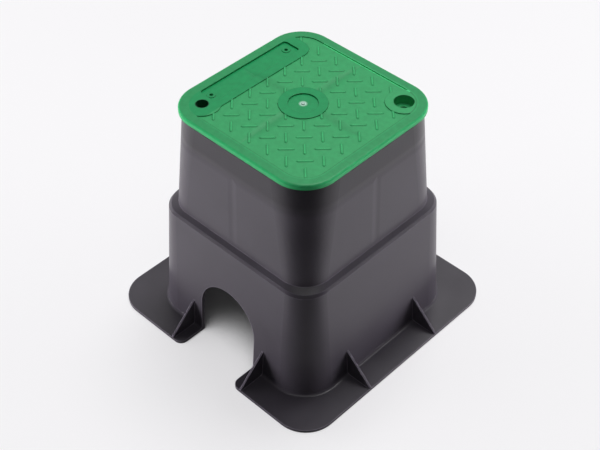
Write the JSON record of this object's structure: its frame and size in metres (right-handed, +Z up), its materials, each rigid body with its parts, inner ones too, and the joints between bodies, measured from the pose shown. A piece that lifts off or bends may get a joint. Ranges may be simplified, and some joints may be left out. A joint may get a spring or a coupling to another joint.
{
  "type": "irrigation valve box",
  "caption": "Small square in-ground irrigation valve box: flanged body with a pipe slot in front and back, and a lift-off treaded lid.",
  "frame": {"origin": "bottom centre of the box, on the ground plane under its flange", "axes": "+Z up, Y along the pipe that passes through the slots, the lid's side panel towards -X"},
  "size_m": [0.2598, 0.2598, 0.2355],
  "materials": {
    "black_polypropylene": "semi-gloss moulded black polypropylene, fine texture",
    "green_polypropylene": "semi-gloss moulded green polypropylene, fine texture"
  },
  "bodies": {
    "base": {"box_body": "black_polypropylene"},
    "lid": {"lid": "green_polypropylene"}
  },
  "joints": [
    {"name": "lid_lift", "type": "slide", "parent": "base", "child": "lid", "axis": [0, 0, 1], "range_m": [0, 0.06]}
  ]
}
